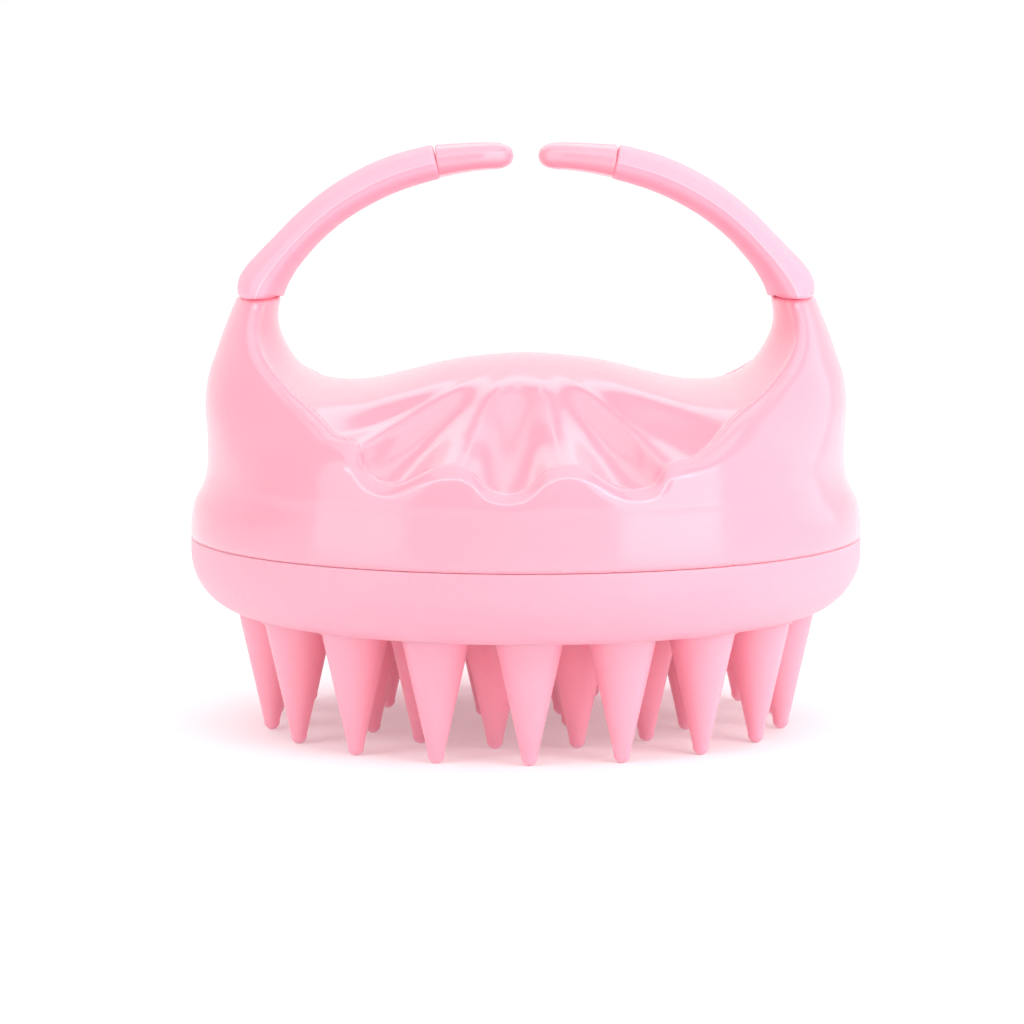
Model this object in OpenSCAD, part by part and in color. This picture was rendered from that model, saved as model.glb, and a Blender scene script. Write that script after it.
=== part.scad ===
// Hand-held scalp massager brush: a round silicone head with three rings of
// soft cone teeth, a hollow rigid shell with finger grooves, and a split grip
// loop whose two arms flex where they leave the horns of the shell.
// Millimetres, +Z up, tooth tips on z = 0, finger grooves towards -Y.

/* [Body] */
// Radius of the round body where shell and cup meet
body_r = 44.2; // [40:0.1:50]
// Height of the joint line between shell and cup
seam_z = 25.4; // [22:0.1:30]
// Height of the crown of the palm saddle
crown_z = 49.1; // [46:0.1:53]
// Depth of the finger grooves, crest to bottom
groove_depth = 3.4; // [0:0.1:5]
// Spacing of the finger grooves across the front edge
groove_pitch = 15.4; // [12:0.1:18]
// Sideways position of the middle finger groove
groove_shift = -2.7; // [-6:0.1:6]

/* [Grip loop] */
// Share of the measured depth front to back used for the grip arms
arm_depth = 1; // [0.7:0.05:1.2]
// Thickness of the flexible core strip in each arm
core_t = 1.5; // [1:0.1:2]
// Half width of the core strip, front to back
core_w = 2.4; // [1.5:0.1:3]
// Gap left at the foot of each arm so it can swing
arm_gap = 0.6; // [0.4:0.05:1]
// Radius of the bead at the root of each core
bead_r = 1.6; // [1.2:0.1:2]
// Running gap round the bead
bead_gap = 0.3; // [0.2:0.05:0.5]

/* [Head] */
// Length of the soft teeth
tooth_len = 15.6; // [10:0.1:20]
// Radius of a tooth where it leaves the floor of the cup
tooth_root_r = 4.3; // [3:0.1:6]
// Radius of the rounded tooth tip
tooth_tip_r = 1.05; // [0.5:0.05:2]
// Number of teeth in the outer ring
outer_count = 18; // [8:1:24]
// Radius of the outer tooth ring
outer_ring_r = 34; // [28:0.1:38]
// Number of teeth in the middle ring
middle_count = 13; // [6:1:18]
// Radius of the middle tooth ring
middle_ring_r = 22; // [16:0.1:26]
// Turn of the middle tooth ring from the front
middle_turn = 16.6; // [-30:0.1:30]
// Number of teeth in the inner ring
inner_count = 4; // [1:1:6]
// Radius of the inner tooth ring
inner_ring_r = 7.4; // [5:0.1:12]
// Turn of the inner tooth ring from the front
inner_turn = 50; // [-90:0.5:90]
// Thickness of the cup wall
cup_wall = 2.2; // [1.5:0.1:3]
// Thickness of the cup floor
cup_floor = 2; // [1.2:0.1:3]
// Radius of the screw circle of the carrier
screw_ring_r = 26; // [20:0.5:30]

/* [Hidden] */

abs_pink = [0.98, 0.76, 0.84];
tpe_pink = [0.96, 0.70, 0.80];
sil_pink = [0.98, 0.68, 0.78];

// ---- curves -------------------------------------------------------------
function cr(a, b, c, d, u) = 0.5 * (2 * b + (c - a) * u + (2 * a - 5 * b + 4 * c - d) * u * u
                                    + (3 * b - a - 3 * c + d) * u * u * u);
// smooth curve through stations, n steps between two of them
function curve(P, n) = concat(
    [for (i = [0 : len(P) - 2]) for (k = [0 : n - 1])
        cr(P[max(i - 1, 0)], P[i], P[i + 1], P[min(i + 2, len(P) - 1)], k / n)],
    [P[len(P) - 1]]);
function column(P, a, b) = [for (p = P) [p[a], p[b]]];

// outside of the shell: [height, half width, half depth]
wall = curve([[seam_z, body_r, body_r], [27, body_r, body_r], [29.8, 43.7, 44.15],
              [32, 42.6, 44.1], [34.4, 42, 44], [38.5, 41.95, 42.9], [42.5, 42.2, 39.4],
              [46.2, 41.8, 35.2], [49, 40.9, 32], [52.1, 39.8, 28.8], [55.3, 38.5, 25.6],
              [58.5, 37.2, 22.5]], 2);
function smooth(a, b, v) = let (u = min(1, max(0, (v - a) / (b - a)))) u * u * (3 - 2 * u);
function half_width(z) = lookup(z, column(wall, 0, 1));
function half_depth(z) = lookup(z, column(wall, 0, 2));
// point of the outside wall at a height and a direction: the foot flares at the sides only
function wall_point(z, a) = let (b = half_depth(z),
    w = b + (half_width(z) - b) * smooth(30, 72, atan2(abs(cos(a)), abs(sin(a)))),
    r = 1 / sqrt(pow(cos(a) / w, 2) + pow(sin(a) / b, 2))) [r * cos(a), r * sin(a), z];

// loop opening seen from the front, right half, round the loop centre
loop_c = [0, 60];
function polar(p) = [atan2(p[1] - loop_c[1], p[0] - loop_c[0]), norm([p[0], p[1]] - loop_c)];
// middle plane: [x, z]
crest = curve([[0, crown_z], [5, 48.8], [10, 48.1], [15.4, 46.7], [19.8, 45.6], [23.5, 45.3],
               [27, 45.7], [29.6, 47.3], [31.4, 50], [32.5, 53], [32.3, 56], [31, 58.8],
               [28, 62.6]], 3);
// edge where the saddle runs out into the outside wall: [x, z, distance from middle plane]
edge = curve([[0, 35.5, 44], [6, 35.5, 43.6], [12, 35.5, 42.3], [17, 35.8, 40.5], [21, 37.5, 38],
              [24.6, 39.7, 34.8], [27.8, 42.2, 31.2], [31.5, 45.6, 24.5], [34.4, 48.6, 18],
              [35.9, 51.3, 13.9], [36, 54, 11], [35.2, 57.2, 9], [32, 61.5, 8]], 3);
// fall of the saddle from crown (0) to rim (1), over the share of the way out
fall = [[0, 0], [0.2, 0.04], [0.38, 0.145], [0.46, 0.23], [0.54, 0.375], [0.62, 0.515], [0.72, 0.665],
        [0.82, 0.795], [0.91, 0.905], [1, 1], [1.3, 1.2]];
crest_rho = [for (p = crest) polar(p)];
edge_rho = [for (p = edge) polar(p)];
edge_y = [for (p = edge) [polar(p)[0], p[2]]];
function fold(a) = a < -90 ? -180 - a : a;
// shape along the row of grooves: 1 in the middle of a groove, -1 on a crest
function wave(u) = let (c = 0.8 * cos(360 * (u - groove_shift) / groove_pitch), e = exp(2 * c),
    f = exp(1.6)) (e - 1) / (e + 1) * (f + 1) / (f - 1);
function rho(a, y) = let (f = fold(a), s = abs(y) / lookup(f, edge_y),
        base = lookup(f, crest_rho), drop = lookup(f, edge_rho) - base,
        live = a > -150 && a < -30 ? 1 : 0,
        x = (base + drop * pow(min(s, 1.1), 2)) * cos(min(-30, max(-150, a))),
        // the grooves fan out from the crown towards the rim
        u = x * 37 / max(norm([x, y]) - 6, 7), c = wave(u),
        mid = live * (1 - smooth(25, 36, abs(u - groove_shift / 2))),
        fade = live * (1 - smooth(19, 25, abs(u - groove_shift))),
        late = 0.06 * (0.5 - 0.5 * c) * fade * smooth(0.25, 0.45, s) * (1 - smooth(0.55, 0.85, s)),
        w = s * s + (lookup(s - late, fall) - s * s) * mid)
    base + drop * w + groove_depth / 2 * c * fade * smooth(0.42, 1, s)
        + 0.6 * (0.6 + 0.4 * c) * live * (1 - smooth(20, 27, abs(u - groove_shift)))
            * smooth(0.41, 0.58, s) * (1 - smooth(0.72, 1, s));

// ---- generic loft: rings all turn the same way ---------------------------
module loft(rings) {
    n = len(rings[0]);
    m = len(rings);
    polyhedron(points = [for (r = rings) for (p = r) p],
        faces = concat([[for (i = [0 : n - 1]) i]],
            [[for (i = [n - 1 : -1 : 0]) (m - 1) * n + i]],
            [for (j = [0 : m - 2]) for (i = [0 : n - 1]) let (k = (i + 1) % n)
                each [[j * n + i, (j + 1) * n + i, (j + 1) * n + k],
                      [j * n + i, (j + 1) * n + k, j * n + k]]]));
}

// ---- grip arms: left arm, mirrored for the right --------------------------
// centre line from the foot to the free end: [x, z, half thickness, half depth]
arm_line = curve([[-35.1, 56.95, 2.72, 9.2], [-34.75, 57.9, 3.12, 9], [-34.1, 59.1, 3, 8.6],
                  [-33.1, 60.5, 2.75, 8.1], [-31.5, 62.45, 2.5, 7.5], [-28.4, 65.75, 2.37, 6.6],
                  [-24.8, 68.7, 2.37, 5.9], [-20.7, 71.15, 2.38, 5.3], [-16.6, 72.9, 2.36, 4.9],
                  [-11.75, 74.25, 2.27, 4.5]], 3);
tip_line = curve([[-11.75, 74.25, 2.2, 4.4], [-8.3, 74.7, 1.97, 3.9], [-5.6, 74.93, 1.84, 3.4],
                  [-4.1, 74.97, 1.78, 2.9], [-3, 74.98, 1.6, 2.4], [-2.2, 74.98, 1.15, 1.7],
                  [-1.6, 74.98, 0.25, 0.4]], 2);
pivot = [-35.7, 54.1];
foot_dir = [0, 1];
foot = xz(arm_line[0]);
function xz(p) = [p[0], p[1]];
function unit(v) = v / norm(v);
function along(P, i) = i == 0 ? unit(xz(P[1] - P[0])) : i == len(P) - 1 ? unit(xz(P[i] - P[i - 1]))
    : unit(xz(P[i + 1] - P[i - 1]));
// almond section, pointed front and back
function section(c, t, h, d, n) = [for (k = [0 : n - 1]) let (a = -360 * k / n,
        u = h * cos(a) * pow(abs(cos(a)) + 0.0001, 0.25))
    [c[0] - t[1] * u, d * sin(a), c[1] + t[0] * u]];
function rings(P, t0, n) = [for (i = [0 : len(P) - 1])
    section(xz(P[i]), i > 4 ? along(P, i) : unit(t0 * (4 - i) / 4 + along(P, i) * i / 4),
        P[i][2], P[i][3] * arm_depth, n)];
core_line = concat([[pivot[0], pivot[1]], [-35.35, 55.5]], [for (i = [0 : 3 : 27]) xz(arm_line[i])],
                   [for (i = [1 : 3]) xz(tip_line[i])]);
module strip2d(t) {
    polygon(concat([for (i = [0 : len(core_line) - 1]) let (d = along(core_line, i))
            core_line[i] + t / 2 * [-d[1], d[0]]],
        [for (i = [len(core_line) - 1 : -1 : 0]) let (d = along(core_line, i))
            core_line[i] - t / 2 * [-d[1], d[0]]]));
}
// draws a flat shape of the front view, w each side of the middle plane
module slab(w) rotate([90, 0, 0]) linear_extrude(2 * w, center = true) children();

module core_body() {
    slab(core_w) strip2d(core_t);
    translate([pivot[0], 0, pivot[1]]) rotate([90, 0, 0])
        cylinder(r = bead_r, h = 2 * core_w, center = true, $fn = 64);
}
module sleeve_body() difference() {
    loft(rings(arm_line, unit(foot_dir), 32));
    slab(core_w) strip2d(core_t);
}
module tip_body() difference() {
    loft(rings(tip_line, along(arm_line, len(arm_line) - 1), 32));
    slab(core_w) strip2d(core_t);
}

// ---- shell ---------------------------------------------------------------
module envelope() loft([for (p = wall) [for (k = [0 : 79]) wall_point(p[0], 4.5 * k)]]);
// everything the hand reaches into: the saddle, the grooves and the loop
module hand_space() {
    as = [for (a = [-180 : 4 : 0]) a];
    ys = [for (i = [0 : 20]) 47 - 94 * i / 20];
    loft([for (y = ys) concat(
        [for (a = as) let (r = rho(a, y) )
            [loop_c[0] + r * cos(a), y, loop_c[1] + r * sin(a)]],
        [[60, y, 61], [60, y, 70], [-60, y, 70], [-60, y, 61]])]);
}
module horn_cut() {
    // level plane across the horn, just under the foot of the sleeve
    for (s = [-1, 1]) translate([s * foot[0] - 12, -30, foot[1] - arm_gap]) cube([24, 60, 12]);
}
module horn_socket() for (s = [-1, 1]) scale([s, 1, 1]) {
    w = core_w + bead_gap;
    translate([pivot[0], 0, pivot[1]]) rotate([90, 0, 0])
        cylinder(r = bead_r + bead_gap, h = 2 * w, center = true, $fn = 32);
    slab(w) polygon([pivot + [-1.15, 0], pivot + [1.15, 0], pivot + [2.25, 4], pivot + [-1.1, 4]]);
}
module handle_shell() color(abs_pink) {
    difference() {
        envelope();
        hand_space();
        horn_cut();
        horn_socket();
        // hollow inside, one smooth dome
        rotate_extrude($fn = 64) polygon([[0, seam_z - 1], [40.6, seam_z - 1], [40.6, 27], [40, 29.5],
            [38.4, 31.2], [34, 33.6], [28, 37], [20, 40], [10, 42], [0, 42.6]]);
    }
    for (i = [0 : 3]) rotate(45 + 90 * i) translate([screw_ring_r, 0, 0]) difference() {
        translate([0, 0, 24]) cylinder(r = 3.4, h = 13.6, $fn = 48);
        translate([0, 0, 23]) cylinder(r = 1.1, h = 10.5, $fn = 32);
    }
}
module left_arm_core() color([0.93, 0.88, 0.88]) core_body();
module right_arm_core() color([0.93, 0.88, 0.88]) mirror([1, 0, 0]) core_body();
module left_grip_sleeve() color(tpe_pink) sleeve_body();
module right_grip_sleeve() color(tpe_pink) mirror([1, 0, 0]) sleeve_body();
module left_tip_cap() color(abs_pink) tip_body();
module right_tip_cap() color(abs_pink) mirror([1, 0, 0]) tip_body();

// ---- head ----------------------------------------------------------------
corner_r = 7.8;
floor_z = tooth_len;
cup_top = seam_z - 0.05;
cup_outside = concat([[0, floor_z], [body_r - corner_r, floor_z]],
    [for (a = [-85 : 5 : 0]) [body_r - corner_r + corner_r * cos(a), floor_z + corner_r + corner_r * sin(a)]]);
module silicone_cup() color(sil_pink) rotate_extrude($fn = 180) polygon(concat(cup_outside,
    [[body_r, cup_top], [40.5, cup_top], [40.5, 24.05], [body_r - cup_wall, 24.05]],
    [for (a = [0 : -10 : -90]) [body_r - corner_r + (corner_r - cup_wall) * cos(a),
        floor_z + corner_r + (corner_r - cup_floor) * sin(a)]],
    [[0, floor_z + cup_floor]]));
module tooth(top) {
    slope = (tooth_root_r - tooth_tip_r) / (tooth_len - tooth_tip_r);
    rotate_extrude($fn = 48) polygon(concat([[0, 0], [0.3, 0]],
        [for (k = [-70 : 10 : 10]) [tooth_tip_r * cos(k), tooth_tip_r + tooth_tip_r * sin(k)]],
        [[tooth_root_r + slope * top, floor_z + top], [0, floor_z + top]]));
}
// the roots follow the underside of the cup
module ring_of(n, r, turn, top) for (i = [0 : n - 1]) rotate(-90 + turn + 360 * i / n)
    translate([r, 0, 0]) tooth(top);
module teeth_outer_ring() color(sil_pink) difference() {
    ring_of(outer_count, outer_ring_r, 0, 0.8);
    rotate_extrude($fn = 180) polygon(concat(cup_outside, [[0, floor_z + corner_r]]));
}
module teeth_middle_ring() color(sil_pink) ring_of(middle_count, middle_ring_r, middle_turn, 0);
module teeth_inner_ring() color(sil_pink) ring_of(inner_count, inner_ring_r, inner_turn, 0);
module head_carrier() color([0.9, 0.9, 0.92]) difference() {
    rotate_extrude($fn = 120) polygon([[0, 21.9], [30, 21.9], [30, floor_z + cup_floor], [32, floor_z + cup_floor],
        [32, 21.9], [41.9, 21.9], [41.9, 24], [40.4, 24], [40.4, 27.2], [38.8, 27.2], [38.8, 24], [0, 24]]);
    for (i = [0 : 3]) rotate(45 + 90 * i) translate([screw_ring_r, 0, 20]) cylinder(r = 1.4, h = 6, $fn = 32);
}
module carrier_screws() color([0.75, 0.76, 0.78]) for (i = [0 : 3]) rotate(45 + 90 * i)
    translate([screw_ring_r, 0, 0]) difference() {
        union() {
            translate([0, 0, 20.1]) cylinder(r = 2.6, h = 1.8, $fn = 48);
            translate([0, 0, 21.9]) cylinder(r = 1.1, h = 10, $fn = 32);
        }
        for (b = [0, 90]) rotate(b) translate([-1.5, -0.25, 20]) cube([3, 0.5, 1.1]);
    }

handle_shell();
left_arm_core();
right_arm_core();
left_grip_sleeve();
right_grip_sleeve();
left_tip_cap();
right_tip_cap();
silicone_cup();
teeth_outer_ring();
teeth_middle_ring();
teeth_inner_ring();
head_carrier();
carrier_screws();
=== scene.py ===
import bpy
import math
import numpy as np
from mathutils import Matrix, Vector


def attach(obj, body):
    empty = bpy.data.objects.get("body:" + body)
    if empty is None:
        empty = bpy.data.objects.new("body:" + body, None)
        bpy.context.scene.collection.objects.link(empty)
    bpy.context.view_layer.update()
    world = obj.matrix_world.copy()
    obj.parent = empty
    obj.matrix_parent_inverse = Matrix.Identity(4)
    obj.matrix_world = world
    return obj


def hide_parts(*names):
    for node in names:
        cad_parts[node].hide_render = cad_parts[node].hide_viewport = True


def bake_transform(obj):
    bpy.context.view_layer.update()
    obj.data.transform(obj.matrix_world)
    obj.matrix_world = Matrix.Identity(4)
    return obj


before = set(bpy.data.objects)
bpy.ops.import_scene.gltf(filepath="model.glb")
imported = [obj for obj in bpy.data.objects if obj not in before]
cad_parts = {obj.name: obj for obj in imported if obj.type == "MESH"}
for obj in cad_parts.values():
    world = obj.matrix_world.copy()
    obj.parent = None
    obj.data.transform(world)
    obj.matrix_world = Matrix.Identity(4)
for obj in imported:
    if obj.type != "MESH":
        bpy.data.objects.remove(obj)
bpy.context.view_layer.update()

MM = 0.001


# ---------------------------------------------------------------- curves ---
def cr(a, b, c, d, u):
    return 0.5 * (2 * b + (c - a) * u + (2 * a - 5 * b + 4 * c - d) * u * u
                  + (3 * b - a - 3 * c + d) * u ** 3)


def curve(stations, n):
    s = np.array(stations, float)
    out = []
    for i in range(len(s) - 1):
        for k in range(n):
            out.append(cr(s[max(i - 1, 0)], s[i], s[i + 1], s[min(i + 2, len(s) - 1)], k / n))
    out.append(s[-1])
    return np.array(out)


def smooth(a, b, v):
    u = np.clip((v - a) / (b - a), 0, 1)
    return u * u * (3 - 2 * u)


def smax(a, b, k):
    h = np.maximum(k - np.abs(a - b), 0) / k
    return np.maximum(a, b) + h * h * k / 4


# the same stations as the CAD part, in millimetres
BODY_R, SEAM, CROWN = 44.2, 25.4, 49.1
WALL = curve([[SEAM, BODY_R, BODY_R], [27, BODY_R, BODY_R], [29.8, 43.7, 44.15],
              [32, 42.6, 44.1], [34.4, 42, 44.0], [38.5, 41.95, 42.9], [42.5, 42.2, 39.4],
              [46.2, 41.8, 35.2], [49, 40.9, 32], [52.1, 39.8, 28.8], [55.3, 38.5, 25.6],
              [58.5, 37.2, 22.5]], 12)
LOOP = (0.0, 60.0)
CREST = curve([[-10, 48.1], [-5, 48.8], [0, CROWN], [5, 48.8], [10, 48.1], [15.4, 46.7], [19.8, 45.6], [23.5, 45.3],
               [27, 45.7], [29.6, 47.3], [31.4, 50], [32.5, 53], [32.3, 56], [31, 58.8],
               [28, 62.6]], 10)
EDGE = curve([[-12, 35.5, 42.3], [-6, 35.5, 43.6], [0, 35.5, 44], [6, 35.5, 43.6], [12, 35.5, 42.3], [17, 35.8, 40.5], [21, 37.5, 38],
              [24.6, 39.7, 34.8], [27.8, 42.2, 31.2], [31.5, 45.6, 24.5], [34.4, 48.6, 18],
              [35.9, 51.3, 13.9], [36, 54, 11], [35.2, 57.2, 9], [32, 61.5, 8]], 10)
GROOVE, PITCH, SHIFT = 3.4, 15.4, -2.7


def polar(p):
    return np.degrees(np.arctan2(p[:, 1] - LOOP[1], p[:, 0] - LOOP[0])), np.hypot(p[:, 0] - LOOP[0], p[:, 1] - LOOP[1])


CREST, EDGE = CREST[20:], EDGE[20:]
CA, CRHO = polar(CREST)
EA, ERHO = polar(EDGE)
EY = EDGE[:, 2]


PROFILE_S = np.array([0, .1, .2, .3, .38, .43, .48, .54, .62, .72, .82, .91, 1.0, 1.1, 1.3])
PROFILE_W = np.array([0, .01, .04, .09, .145, .19, .265, .375, .515, .665, .795, .905, 1.0, 1.09, 1.2])
_s = np.linspace(0, 1.3, 261)
_w = np.interp(_s, PROFILE_S, PROFILE_W)
for _ in range(3):
    _w[4:-4] = np.convolve(_w, np.ones(9) / 9, "valid")


def rho(a, y):
    f = np.where(a < -90, -180 - a, a)
    ay = np.abs(y)
    s = ay / np.interp(f, EA, EY)
    base = np.interp(f, CA, CRHO)
    drop = np.interp(f, EA, ERHO) - base
    # finger grooves fan out from the crown towards the rim
    aa = np.radians(np.clip(a, -150, -30))
    x = (base + drop * np.minimum(s, 1.1) ** 2) * np.cos(aa)
    u = x * 37 / np.maximum(np.hypot(x, ay) - 6, 7)
    c = np.cos(2 * np.pi * (u - SHIFT) / PITCH)
    c = c + (np.tanh(0.9 * c) / math.tanh(0.9) - c) * smooth(0.6, 1.0, s)
    live = (a > -150) & (a < -30)
    mid = np.where(live, 1 - smooth(25, 36, np.abs(u - SHIFT * 0.5)), 0)
    fade = 1 - smooth(19, 25, np.abs(u - SHIFT))
    late = 0.015 * (0.5 - 0.5 * c) * fade * smooth(0.25, 0.45, s) * (1 - smooth(0.55, 0.85, s))
    w = s * s + (np.interp(s - late, _s, _w) - s * s) * mid
    g = GROOVE / 2 * c * fade * smooth(0.36, 1.0, s)
    pocket = 0.3 * (0.8 + 0.2 * c) * (1 - smooth(20, 27, np.abs(u - SHIFT))) \
        * smooth(0.41, 0.58, s) * (1 - smooth(0.72, 1.0, s))
    return base + drop * w + np.where(live, g + pocket, 0)


def hand_space(x, y, z):
    a = np.degrees(np.arctan2(z - LOOP[1], x))
    return rho(a, y) - np.hypot(x, z - LOOP[1])


def shell_field(x, y, z):
    a = np.interp(z, WALL[:, 0], WALL[:, 1])
    b = np.interp(z, WALL[:, 0], WALL[:, 2])
    # the foot flares at the sides only; the front and back walls stand straight
    a = b + (a - b) * smooth(30, 72, np.degrees(np.arctan2(np.abs(x), np.abs(y) + 1e-9)))
    q = np.sqrt((x / a) ** 2 + (y / b) ** 2) + 1e-9
    wall = np.where(q > 0.3, (q - 1) * q / (np.sqrt(x * x / a ** 4 + y * y / b ** 4) + 1e-9), (q - 1) * 25)
    h = 0.2
    g0 = hand_space(x, y, z)
    gx = (hand_space(x + h, y, z) - hand_space(x - h, y, z)) / (2 * h)
    gy = (hand_space(x, y + h, z) - hand_space(x, y - h, z)) / (2 * h)
    gz = (hand_space(x, y, z + h) - hand_space(x, y, z - h)) / (2 * h)
    top = g0 / np.maximum(np.sqrt(gx * gx + gy * gy + gz * gz), 0.5)
    horn = smooth(40, 50, z)
    # a soft bead runs along the rim
    bead = (0.62 - 0.32 * horn) * smooth(-2.9, -1.6, wall)
    f = smax(wall, top - bead, 1.7 + 0.5 * horn - 0.5 * smooth(53, 57, z))
    cut = np.where(np.abs(x) > 26, z - 56.62, -10)
    f = smax(f, cut, 0.45)
    f = smax(f, SEAM - 0.03 - z, 0.25)
    # hollow inside
    r = np.hypot(x, y)
    roof = np.interp(r, [0, 10, 20, 28, 34, 38.4, 40, 40.6], [42.6, 42, 40, 37, 33.6, 31.2, 29.5, 27])
    inner = np.maximum(r - 40.6, (z - roof) * 0.8)
    return smax(f, -inner, 0.6)


def surface_net(field, lo, hi, h):
    """Closed quad mesh of field = 0, in millimetres, vertices moved onto the surface."""
    ax = [np.arange(lo[i], hi[i] + h, h) for i in range(3)]
    F = np.empty([len(a) for a in ax])
    for i in range(0, len(ax[0]), 16):
        X, Y, Z = np.meshgrid(ax[0][i:i + 16], ax[1], ax[2], indexing="ij")
        F[i:i + 16] = field(X, Y, Z)
    n = np.array(F.shape) - 1
    total = int(np.prod(n))
    acc, cnt, quads = np.zeros((total, 3)), np.zeros(total), []
    for axis in range(3):
        sa, sb = [slice(None)] * 3, [slice(None)] * 3
        sa[axis], sb[axis] = slice(0, -1), slice(1, None)
        A, B = F[tuple(sa)], F[tuple(sb)]
        hit = (A < 0) != (B < 0)
        I = np.argwhere(hit)
        a, b = A[hit], B[hit]
        P = I.astype(float)
        P[:, axis] += a / (a - b)
        o = [k for k in range(3) if k != axis]
        ids = []
        for u, v in ((-1, -1), (0, -1), (0, 0), (-1, 0)):
            C = I.copy()
            C[:, o[0]] += u
            C[:, o[1]] += v
            ids.append((C[:, 0] * n[1] + C[:, 1]) * n[2] + C[:, 2])
        ids = np.stack(ids, 1)
        for k in range(4):
            for c in range(3):
                acc[:, c] += np.bincount(ids[:, k], P[:, c], total)
            cnt += np.bincount(ids[:, k], minlength=total)
        flip = (a >= 0) ^ (axis == 1)
        ids[flip] = ids[flip][:, ::-1]
        quads.append(ids)
    quads = np.concatenate(quads)
    used = np.flatnonzero(cnt)
    renum = np.full(total, -1)
    renum[used] = np.arange(len(used))
    V = acc[used] / cnt[used, None] * h + np.array([a[0] for a in ax])
    Q = renum[quads]

    def settle(V):
        e = 0.03
        for _ in range(2):
            f = field(*V.T)
            g = np.stack([(field(*(V + d).T) - field(*(V - d).T)) / (2 * e)
                          for d in np.eye(3) * e], 1)
            s = f / np.maximum((g * g).sum(1), 0.2)
            V = V - g * np.clip(s, -0.4 * h, 0.4 * h)[:, None]
        return V, g / np.maximum(np.linalg.norm(g, axis=1), 1e-6)[:, None]

    V, N = settle(V)
    E = np.concatenate([Q[:, [0, 1]], Q[:, [1, 2]], Q[:, [2, 3]], Q[:, [3, 0]]])
    deg = np.bincount(E[:, 0], minlength=len(V)) + np.bincount(E[:, 1], minlength=len(V))
    for _ in range(2):
        m = np.stack([np.bincount(E[:, 0], V[E[:, 1], c], len(V)) + np.bincount(E[:, 1], V[E[:, 0], c], len(V))
                      for c in range(3)], 1) / deg[:, None]
        d = m - V
        d -= N * (d * N).sum(1)[:, None]
        V, N = settle(V + 0.5 * d)
    return V, Q


# ---------------------------------------------------------------- meshes ---
def make(name, verts, faces, material, body=None):
    me = bpy.data.meshes.new(name)
    me.from_pydata((np.asarray(verts) * MM).tolist(), [], [list(map(int, f)) for f in faces])
    me.validate()
    me.update()
    me.polygons.foreach_set("use_smooth", [True] * len(me.polygons))
    ob = bpy.data.objects.new(name, me)
    bpy.context.scene.collection.objects.link(ob)
    me.materials.append(material)
    if body:
        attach(ob, body)
    return ob


def lathe(profile, n, centre=(0, 0), phase=0.0):
    """Rings round z; a profile point at r = 0 becomes one pole vertex."""
    V, F, rows = [], [], []
    for r, z in profile:
        if r < 1e-6:
            rows.append([len(V)] * n)
            V.append((centre[0], centre[1], z))
        else:
            rows.append(list(range(len(V), len(V) + n)))
            for k in range(n):
                t = 2 * math.pi * k / n + phase
                V.append((centre[0] + r * math.cos(t), centre[1] + r * math.sin(t), z))
    for a, b in zip(rows[:-1], rows[1:]):
        for k in range(n):
            j = (k + 1) % n
            f = [a[k], a[j], b[j], b[k]]
            f = [v for i, v in enumerate(f) if v not in f[:i]]
            if len(f) > 2:
                F.append(f)
    return V, F


def resample(P, step):
    d = np.r_[0, np.cumsum(np.hypot(*np.diff(P[:, :2], axis=0).T))]
    s = np.linspace(0, d[-1], max(int(d[-1] / step), 8) + 1)
    return np.stack([np.interp(s, d, P[:, c]) for c in range(P.shape[1])], 1), s, d[-1]


def sweep(P, n, side, start_round, end_round, first_dir=None, power=-0.2, step=0.28, ridge=0.0):
    """Almond section along a line in the XZ plane: columns x, z, half thickness, half depth."""
    P, s, L = resample(P, step)
    T = np.gradient(P[:, :2], axis=0)
    T /= np.linalg.norm(T, axis=1)[:, None]
    if first_dir is not None:
        w = np.clip(1 - s / 1.5, 0, 1)[:, None]
        T = T * (1 - w) + np.array(first_dir)[None] * w
        T /= np.linalg.norm(T, axis=1)[:, None]
    inset = np.zeros(len(s))
    for r, q in ((start_round, s), (end_round, L - s)):
        if r:
            k = np.clip(1 - q / r, 0, 1)
            inset = np.maximum(inset, r * (1 - np.sqrt(np.maximum(1 - k * k, 0))))
    V, F = [], []
    m = len(s)
    for i in range(m):
        h, d = max(P[i, 2] - inset[i], 0.05), max(P[i, 3] - inset[i] * 1.2, 0.05)
        for k in range(n):
            # two narrow strips hug the parting line at the front and back
            e = k % (n // 2) - n // 4
            a = 2 * math.pi * (k - e) / n + math.radians(0.8) * e if abs(e) == 1 else 2 * math.pi * k / n
            c = math.cos(a)
            u = h * c * (abs(c) + 1e-6) ** power
            dd = d + (ridge if abs(c) < 1e-6 and inset[i] < 0.02 else 0)
            V.append((side * (P[i, 0] - T[i, 1] * u), -side * dd * math.sin(a), P[i, 1] + T[i, 0] * u))
    for i in range(m - 1):
        for k in range(n):
            j = (k + 1) % n
            F.append([i * n + k, i * n + j, (i + 1) * n + j, (i + 1) * n + k])
    for i, back in ((0, True), (m - 1, False)):
        c = len(V)
        V.append(tuple(np.mean(V[i * n:(i + 1) * n], axis=0)))
        for k in range(n):
            j = (k + 1) % n
            F.append([c, i * n + j, i * n + k] if back else [c, i * n + k, i * n + j])
    return V, F


# ------------------------------------------------------------- materials ---
def material(name, build):
    m = bpy.data.materials.new(name)
    m.use_nodes = True
    nt = m.node_tree
    p = nt.nodes["Principled BSDF"]
    build(nt, p)
    return m


def coords(nt, scale=1.0):
    tc = nt.nodes.new("ShaderNodeTexCoord")
    mp = nt.nodes.new("ShaderNodeMapping")
    mp.inputs["Scale"].default_value = (scale,) * 3
    nt.links.new(tc.outputs["Object"], mp.inputs["Vector"])
    return mp.outputs["Vector"]


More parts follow.
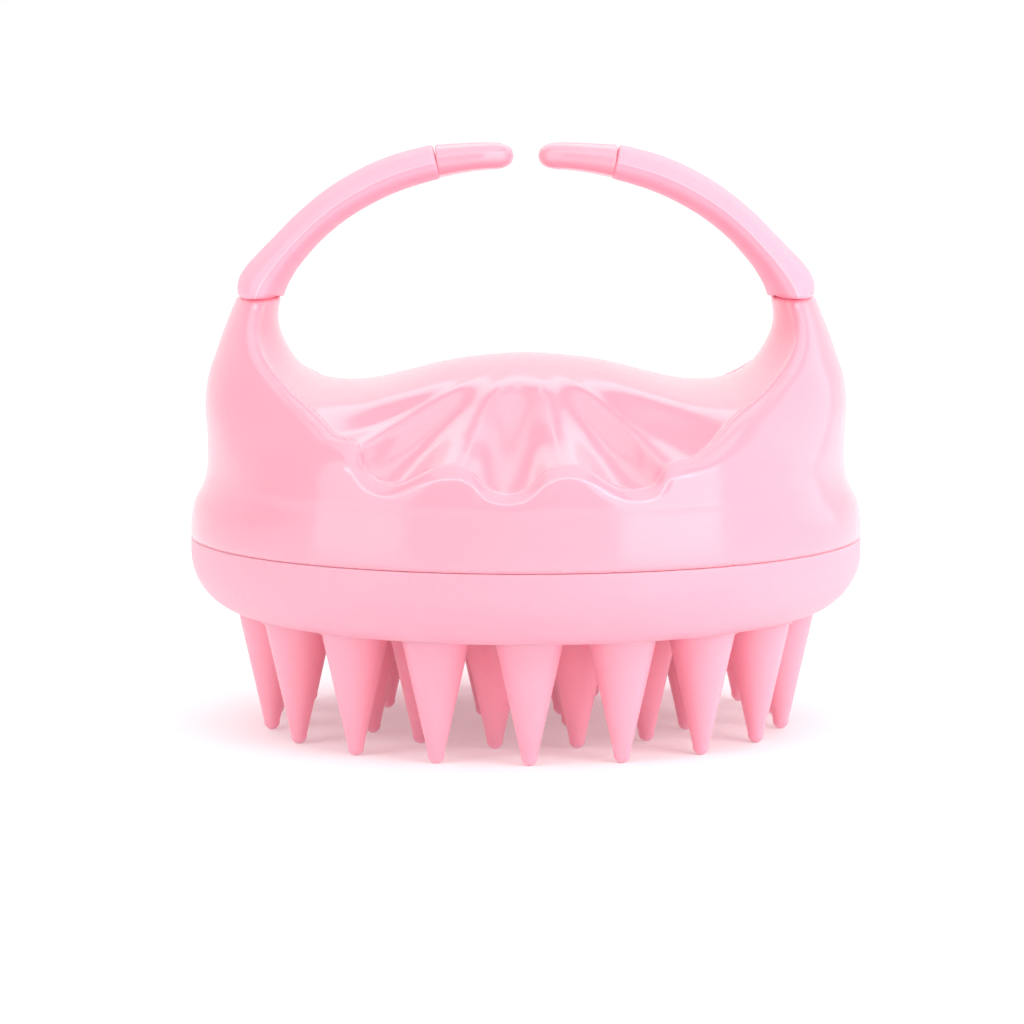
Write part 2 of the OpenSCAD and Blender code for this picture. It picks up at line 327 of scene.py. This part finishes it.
def noise(nt, vec, scale, detail=2.0, rough=0.5):
    n = nt.nodes.new("ShaderNodeTexNoise")
    n.inputs["Scale"].default_value = scale
    n.inputs["Detail"].default_value = detail
    n.inputs["Roughness"].default_value = rough
    nt.links.new(vec, n.inputs["Vector"])
    return n.outputs["Fac"]


def mix(nt, fac, a, b):
    m = nt.nodes.new("ShaderNodeMix")
    m.data_type = "RGBA"
    nt.links.new(fac, m.inputs["Factor"])
    m.inputs["A"].default_value = (*a, 1)
    m.inputs["B"].default_value = (*b, 1)
    return m.outputs["Result"]


def ramp(nt, fac, lo, hi, a, b):
    m = nt.nodes.new("ShaderNodeMapRange")
    nt.links.new(fac, m.inputs["Value"])
    for k, v in (("From Min", lo), ("From Max", hi), ("To Min", a), ("To Max", b)):
        m.inputs[k].default_value = v
    return m.outputs["Result"]


def bump(nt, p, height, strength, distance):
    b = nt.nodes.new("ShaderNodeBump")
    b.inputs["Strength"].default_value = strength
    b.inputs["Distance"].default_value = distance
    nt.links.new(height, b.inputs["Height"])
    nt.links.new(b.outputs["Normal"], p.inputs["Normal"])


def srgb(r, g, b):
    return tuple((c / 255 / 12.92) if c / 255 <= 0.04045 else ((c / 255 + 0.055) / 1.055) ** 2.4 for c in (r, g, b))


def plastic(nt, p, low, high, rough, coat, sss, grain):
    v = coords(nt)
    soft = noise(nt, v, 40.0, 2.0)
    nt.links.new(mix(nt, soft, low, high), p.inputs["Base Color"])
    fine = noise(nt, v, 900.0, 3.0, 0.6)
    nt.links.new(ramp(nt, fine, 0.2, 0.8, rough * 0.85, rough * 1.15), p.inputs["Roughness"])
    p.inputs["Specular IOR Level"].default_value = 0.5 if rough > 0.3 else 0.68
    p.inputs["Coat Weight"].default_value = coat
    p.inputs["Coat Roughness"].default_value = 0.06
    p.inputs["Subsurface Weight"].default_value = sss
    p.inputs["Subsurface Radius"].default_value = (1.0, 0.35, 0.4)
    p.inputs["Subsurface Scale"].default_value = 0.004
    bump(nt, p, fine, grain, 0.00002)


ABS_LO, ABS_HI = srgb(254, 160, 178), srgb(255, 167, 184)
SIL_LO, SIL_HI = srgb(254, 167, 185), srgb(255, 174, 191)
TPE_LO, TPE_HI = srgb(254, 169, 188), srgb(255, 177, 195)
abs_m = material("abs_pink", lambda nt, p: plastic(nt, p, ABS_LO, ABS_HI, 0.17, 0.2, 0.15, 0.04))
tip_m = material("abs_pink_tip", lambda nt, p: plastic(nt, p, ABS_LO, ABS_HI, 0.16, 0.3, 0.15, 0.04))
tpe_m = material("tpe_pink", lambda nt, p: plastic(nt, p, TPE_LO, TPE_HI, 0.42, 0.0, 0.3, 0.6))
# painted highlight: a lighter pink that stands in for the light caught along the sleeves' parting-line ridge
sleeve_highlight_m = material("tpe_painted_highlight", lambda nt, p: plastic(nt, p, srgb(255, 190, 204), srgb(255, 197, 210), 0.35, 0.0, 0.3, 0.3))
sil_m = material("silicone_pink", lambda nt, p: plastic(nt, p, SIL_LO, SIL_HI, 0.38, 0.0, 0.6, 0.5))
nylon_m = material("nylon", lambda nt, p: plastic(nt, p, srgb(232, 222, 222), srgb(242, 232, 232), 0.45, 0.0, 0.2, 0.5))
carrier_m = material("carrier_abs", lambda nt, p: plastic(nt, p, srgb(226, 226, 230), srgb(236, 236, 240), 0.4, 0.0, 0.1, 0.5))


def steel(nt, p):
    v = coords(nt)
    n = noise(nt, v, 400.0, 3.0)
    nt.links.new(mix(nt, n, srgb(176, 178, 182), srgb(205, 207, 210)), p.inputs["Base Color"])
    nt.links.new(ramp(nt, n, 0.2, 0.8, 0.22, 0.38), p.inputs["Roughness"])
    p.inputs["Metallic"].default_value = 1.0
    bump(nt, p, n, 0.3, 0.00002)


steel_m = material("screw_steel", steel)

# ---------------------------------------------------------------- pieces ---
V, Q = surface_net(shell_field, (-46, -46, 24.2), (46, 46, 59.4), 0.52)
rr = np.hypot(V[:, 0], V[:, 1])
low = (V[:, 2] < SEAM + 0.28) & (rr > (43.75))
V[low, :2] *= (BODY_R - 0.04) / rr[low, None]
V[low, 2] = SEAM
shell = make("shell_skin", V, Q, abs_m, "head")
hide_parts("handle_shell")

R, CORNER, FLOOR = BODY_R, 7.8, 15.6
prof = [(0, FLOOR + 2.0), (20, FLOOR + 2.0), (36.4, FLOOR + 2.0)]
prof += [(R - CORNER + (CORNER - 2.2) * math.cos(t), FLOOR + CORNER + (CORNER - 2.0) * math.sin(t))
         for t in np.radians(np.linspace(-84, 0, 15))]
prof += [(R - 2.2, 24.0), (R - 2.35, 24.1), (40.6, 24.1), (40.5, 24.25), (40.5, 25.1), (40.7, 25.32), (43.4, 25.32)]
prof += [(43.98 + 0.2 * math.sin(t), 25.12 + 0.2 * math.cos(t)) for t in np.radians(np.linspace(0, 84, 8))]
prof += [(44.18, 25.0), (44.18, 24.5), (44.18, 24.0)]
prof += [(R - CORNER + (CORNER - 0.02) * math.cos(t), FLOOR + CORNER + CORNER * math.sin(t))
         for t in np.radians(np.linspace(0, -90, 30))]
prof += [(30, FLOOR), (20, FLOOR), (10, FLOOR), (0, FLOOR)]
v, f = lathe(prof, 288)
cup = make("silicone_cup_skin", v, [g[::-1] for g in f], sil_m, "head")
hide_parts("silicone_cup")


TIP_R = 1.05


def tooth_profile():
    p = [(0, 0.004), (0.3, 0.02)]
    p += [(TIP_R * math.cos(t), TIP_R + TIP_R * math.sin(t)) for t in np.radians(np.linspace(-68, 10, 10))]
    z0, r0, z1, r1 = TIP_R * 1.18, TIP_R * 0.99, 14.9, 4.12
    for t in np.linspace(0.05, 1, 14):
        p.append((r0 + (r1 - r0) * t, z0 + (z1 - z0) * t))
    # root fillet into the floor of the cup
    for t in np.linspace(0.15, 1, 6):
        p.append((r1 + 0.16 * t + 0.34 * t ** 3, z1 + 0.75 * math.sin(t * math.pi / 2)))
    p += [(4.66, 15.95), (4.66, 16.6), (0, 16.6)]
    return p


def tooth_ring(name, node, count, radius, turn):
    V, F = [], []
    for i in range(count):
        t = math.radians(-90 + turn + 360 * i / count)
        v, f = lathe(tooth_profile(), 40, (radius * math.cos(t), radius * math.sin(t)))
        b = len(V)
        V += v
        F += [[k + b for k in g] for g in f]
    ob = make(name, V, F, sil_m, "head")
    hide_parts(node)
    return ob


tooth_ring("teeth_outer_skin", "teeth_outer_ring", 18, 34.0, 0.0)
tooth_ring("teeth_middle_skin", "teeth_middle_ring", 13, 22.0, 16.6)
tooth_ring("teeth_inner_skin", "teeth_inner_ring", 4, 7.4, 50.0)

ARM = curve([[-35.1, 56.95, 2.72, 9.2], [-34.75, 57.9, 3.12, 9], [-34.1, 59.1, 3, 8.6],
             [-33.1, 60.5, 2.75, 8.1], [-31.5, 62.45, 2.5, 7.5], [-28.4, 65.75, 2.37, 6.6],
             [-24.8, 68.7, 2.37, 5.9], [-20.7, 71.15, 2.38, 5.3], [-16.6, 72.9, 2.36, 4.9],
             [-11.72, 74.26, 2.27, 4.5]], 8)
TIP = curve([[-11.69, 74.27, 2.2, 4.4], [-8.3, 74.7, 1.97, 3.9], [-5.6, 74.93, 1.84, 3.4],
             [-4.1, 74.97, 1.78, 2.9], [-3, 74.98, 1.6, 2.4], [-2.3, 74.98, 1.27, 1.85],
             [-1.85, 74.98, 0.85, 1.2], [-1.62, 74.98, 0.2, 0.3]], 8)
FOOT = np.array([0.0, 1.0])
foot = np.r_[ARM[0, :2] - FOOT * 0.25, ARM[0, 2:]][None]
for side, word in ((1, "left"), (-1, "right")):
    v, f = sweep(np.r_[foot, ARM[1:-1], ARM[-1:]], 72, side, 0.35, 0.22, first_dir=FOOT, ridge=0.08)
    sleeve = make(word + "_sleeve_skin", v, f, tpe_m)
    sleeve.data.materials.append(sleeve_highlight_m)
    # the narrow strips either side of the parting line get the lighter painted-highlight material
    for g in sleeve.data.polygons:
        k = [i % 72 for i in g.vertices]
        if len(k) == 4 and all(i % 36 in (17, 18, 19) for i in k):
            g.material_index = 1
    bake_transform(sleeve)
    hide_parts(word + "_grip_sleeve")
    v, f = sweep(TIP, 72, side, 0.22, 0.0, step=0.16)
    tip = make(word + "_tip_skin", v, f, tip_m, word + "_arm")
    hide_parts(word + "_tip_cap")

for node, m in (("left_arm_core", nylon_m), ("right_arm_core", nylon_m),
                ("head_carrier", carrier_m), ("carrier_screws", steel_m)):
    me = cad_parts[node].data
    for i in range(max(len(me.materials), 1)):
        if len(me.materials):
            me.materials[i] = m
        else:
            me.materials.append(m)

# ------------------------------------------------------- floor and light ---
floor = bpy.data.meshes.new("floor")
W, D0, D1, H, RB = 2.2, -1.6, 0.9, 1.6, 0.35
prof = [(D0, 0.0)] + [(D1 - RB + RB * math.sin(t), RB - RB * math.cos(t)) for t in np.linspace(0, math.pi / 2, 17)] + [(D1, H)]
fv = [(x, y, z) for (y, z) in prof for x in (-W, W)]
ff = [(2 * i, 2 * i + 1, 2 * i + 3, 2 * i + 2) for i in range(len(prof) - 1)]
floor.from_pydata(fv, [], ff)
floor.polygons.foreach_set("use_smooth", [True] * len(floor.polygons))
floor_ob = bpy.data.objects.new("floor", floor)
bpy.context.scene.collection.objects.link(floor_ob)


def floor_mat(nt, p):
    n = noise(nt, coords(nt), 6.0, 2.0)
    nt.links.new(mix(nt, n, (0.78, 0.78, 0.79), (0.80, 0.80, 0.81)), p.inputs["Base Color"])
    p.inputs["Roughness"].default_value = 0.8
    p.inputs["Specular IOR Level"].default_value = 0.2
    p.inputs["Emission Color"].default_value = (1, 1, 1, 1)
    p.inputs["Emission Strength"].default_value = 0.24


floor.materials.append(material("floor_paper", floor_mat))


def area(name, az, dist, height, size, power, aim=(0, 0, 0.04), color=(1, 1, 1)):
    """A soft rectangle; az 0 is the camera's side (-Y), positive towards +X."""
    d = bpy.data.lights.new(name, "AREA")
    d.shape = "RECTANGLE"
    d.size, d.size_y = size
    d.energy = power
    d.color = color
    o = bpy.data.objects.new(name, d)
    a = math.radians(az)
    o.location = (dist * math.sin(a), -dist * math.cos(a), height)
    o.rotation_euler = (Vector(aim) - o.location).to_track_quat("-Z", "Y").to_euler()
    bpy.context.scene.collection.objects.link(o)
    return o


area("top", 0, 0.12, 0.75, (0.9, 0.9), 2.6)
area("strip", 0, 0.42, 0.50, (1.5, 0.05), 1.3)
area("back_panel", 180, 0.80, 0.70, (1.7, 0.9), 4.6, aim=(0, 0, 0.1))
area("box_right", 46.5, 0.30, 0.13, (0.21, 0.30), 0.47, aim=(0, 0, 0.05), color=(0.98, 0.98, 1))
area("box_left", -55.5, 0.30, 0.13, (0.195, 0.30), 0.27, aim=(0, 0, 0.05))
area("side_right", 100, 0.70, 0.30, (0.9, 0.6), 1.3, aim=(0, 0, 0.04), color=(0.95, 0.96, 1))

world = bpy.data.worlds.new("world")
world.use_nodes = True
world.node_tree.nodes["Background"].inputs["Color"].default_value = (1, 1, 1, 1)
world.node_tree.nodes["Background"].inputs["Strength"].default_value = 0.42
bpy.context.scene.world = world
bpy.context.scene.view_settings.view_transform = "Standard"

# ---------------------------------------------------------------- camera ---
F_PX, DIST, HC, PITCH_A, CX, CY, YAW = 4004.8, 526.7, 87.25, 0.112, 526.0, 512.0, 0.012
cam = bpy.data.cameras.new("camera")
cam.sensor_width = 36
cam.lens = F_PX * 36 / 1024
cam.shift_x = (512 - CX) / 1024
cam.shift_y = (CY - 512) / 1024
cam.clip_start, cam.clip_end = 0.01, 20
cam.dof.use_dof = False
cob = bpy.data.objects.new("camera", cam)
cob.location = (-DIST * math.sin(YAW) * MM, -DIST * math.cos(YAW) * MM, HC * MM)
cob.rotation_euler = (math.pi / 2 - PITCH_A, 0, -YAW)
bpy.context.scene.collection.objects.link(cob)
bpy.context.scene.camera = cob
